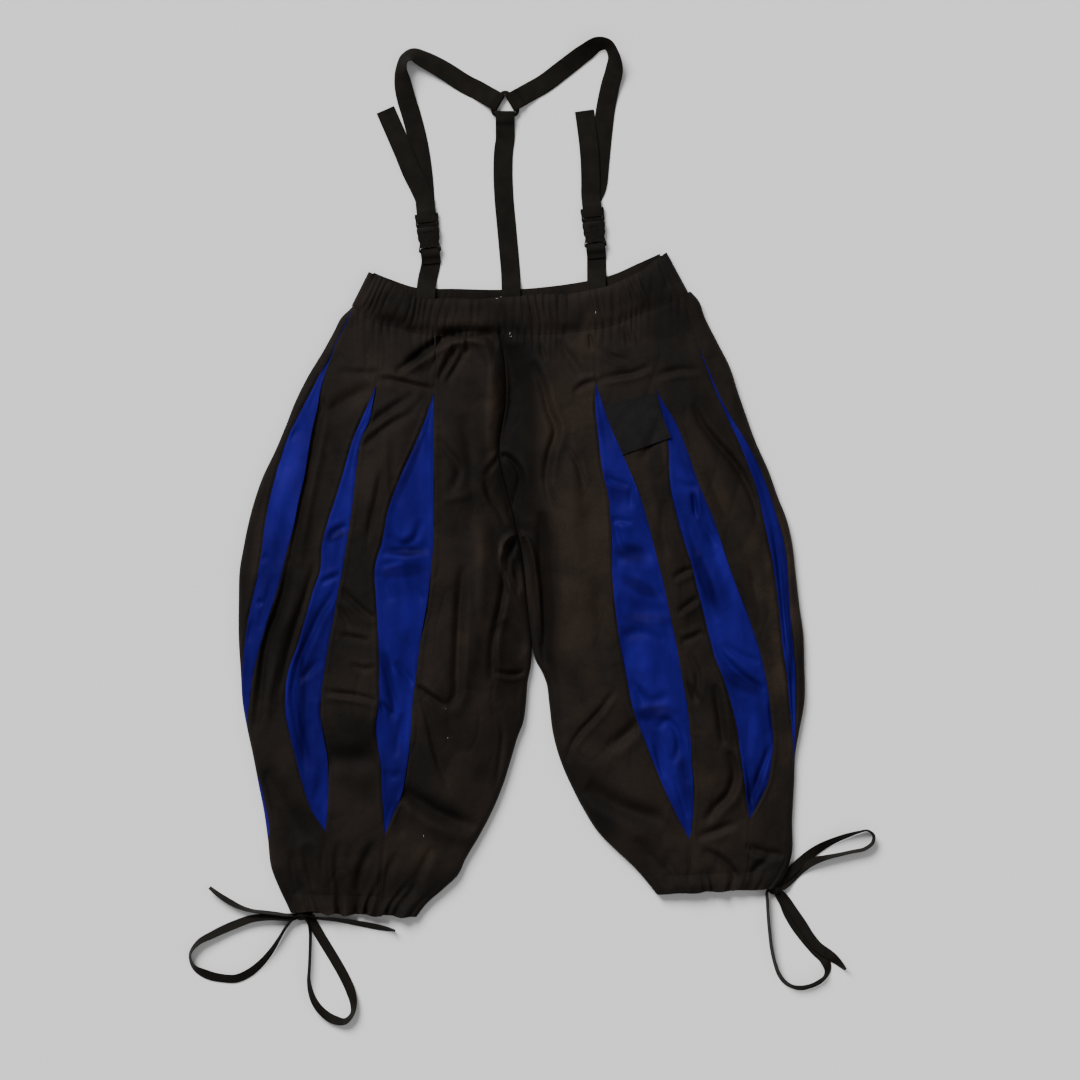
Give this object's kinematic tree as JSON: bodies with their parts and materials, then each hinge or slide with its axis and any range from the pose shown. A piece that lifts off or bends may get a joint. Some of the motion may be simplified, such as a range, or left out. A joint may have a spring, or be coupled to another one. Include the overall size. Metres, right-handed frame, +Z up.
{
  "type": "renaissance trousers",
  "caption": "Knee-length slashed breeches laid flat, with satin lens inserts, a gathered waistband, Y braces on buckles and drawstring hems tied in bows.",
  "frame": {"origin": "on the surface the garment lies on, below the middle of the garment's box without its laces", "axes": "+Y from the hems to the waistband and braces, +Z up from the surface, +X towards the wearer's left leg"},
  "size_m": [0.7551, 1.085, 0.0378],
  "materials": {
    "black_cotton": "soft plain cotton, slight sheen",
    "blue_satin": "satin",
    "black_webbing": "woven tape, matte",
    "black_plastic": "moulded, satin"
  },
  "bodies": {
    "root": {"waistband_front": "black_cotton", "waistband_back": "black_cotton", "right_leg_side_panel": "black_cotton", "right_leg_side_pane": "black_cotton", "right_leg_front_pane": "black_cotton", "right_leg_front_panel": "black_cotton", "right_leg_back_panel": "black_cotton", "right_leg_insert_1": "blue_satin", "right_leg_insert_2": "blue_satin", "right_leg_insert_3": "blue_satin", "right_leg_hem_casing": "black_cotton", "left_leg_side_panel": "black_cotton", "left_leg_side_pane": "black_cotton", "left_leg_front_pane": "black_cotton", "left_leg_front_panel": "black_cotton", "left_leg_back_panel": "black_cotton", "left_leg_insert_1": "blue_satin", "left_leg_insert_2": "blue_satin", "left_leg_insert_3": "blue_satin", "left_leg_hem_casing": "black_cotton", "label_patch": "black_webbing", "strap_ring": "black_plastic", "strap_back": "black_webbing", "strap_right": "black_webbing", "strap_left": "black_webbing", "tab_right": "black_webbing", "tab_left": "black_webbing", "right_buckle_frame": "black_plastic", "right_buckle_socket": "black_plastic", "left_buckle_frame": "black_plastic", "left_buckle_socket": "black_plastic", "right_lace_knot": "black_webbing", "right_lace_short_end": "black_webbing", "right_lace_outer_loop": "black_webbing", "right_lace_lower_loop": "black_webbing", "right_lace_long_end": "black_webbing", "left_lace_knot": "black_webbing", "left_lace_outer_loop": "black_webbing", "left_lace_lower_loop": "black_webbing", "left_lace_long_end": "black_webbing"}
  },
  "joints": []
}
